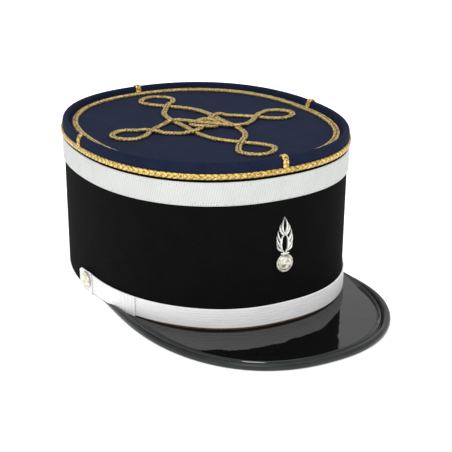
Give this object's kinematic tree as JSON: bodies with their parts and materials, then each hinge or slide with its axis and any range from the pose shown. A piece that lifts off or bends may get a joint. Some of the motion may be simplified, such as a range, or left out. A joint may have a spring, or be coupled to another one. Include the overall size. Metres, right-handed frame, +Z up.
{
  "type": "kepi cap",
  "caption": "Stiff oval officer's kepi with a sunken crown, gold braid knot, silver lace, chin strap and flat patent peak.",
  "frame": {"origin": "on the table, under the middle of the whole cap's box", "axes": "+Z up, the peak towards -Y, the wearer's left towards +X"},
  "size_m": [0.1746, 0.2594, 0.1063],
  "materials": {
    "black_cloth": "fine black wool cloth over a stiff wall",
    "navy_cloth": "dark navy wool cloth with a short nap",
    "silver_lace": "woven silver-white lace with fine diagonal ribs and small dark edge marks",
    "gold_braid": "metallic gold braid in a herringbone plait",
    "patent_leather": "mirror-gloss black patent leather",
    "black_leather": "rolled black leather binding, half gloss",
    "silver_strap": "silver-white flat lace with fine lengthwise lines",
    "brown_leather": "dark brown leather edge",
    "button_metal": "pale silver-gilt metal, slightly worn",
    "badge_metal": "silvered stamped metal"
  },
  "bodies": {
    "root": {"side_wall": "black_cloth", "crown_top": "navy_cloth", "lace_band": "silver_lace", "rim_braid": "gold_braid", "disc_braid": "gold_braid", "riser_front": "gold_braid", "riser_rear": "gold_braid", "riser_left": "gold_braid", "riser_right": "gold_braid", "knot_long": "gold_braid", "knot_wide": "gold_braid", "knot_ring": "gold_braid", "peak": "patent_leather", "peak_binding": "black_leather", "chin_strap": "silver_strap", "strap_backing": "brown_leather", "slider_left": "silver_strap", "slider_right": "silver_strap", "strap_tab_left": "silver_strap", "strap_tab_right": "silver_strap", "button_left": "button_metal", "button_right": "button_metal", "badge": "badge_metal"}
  },
  "joints": []
}
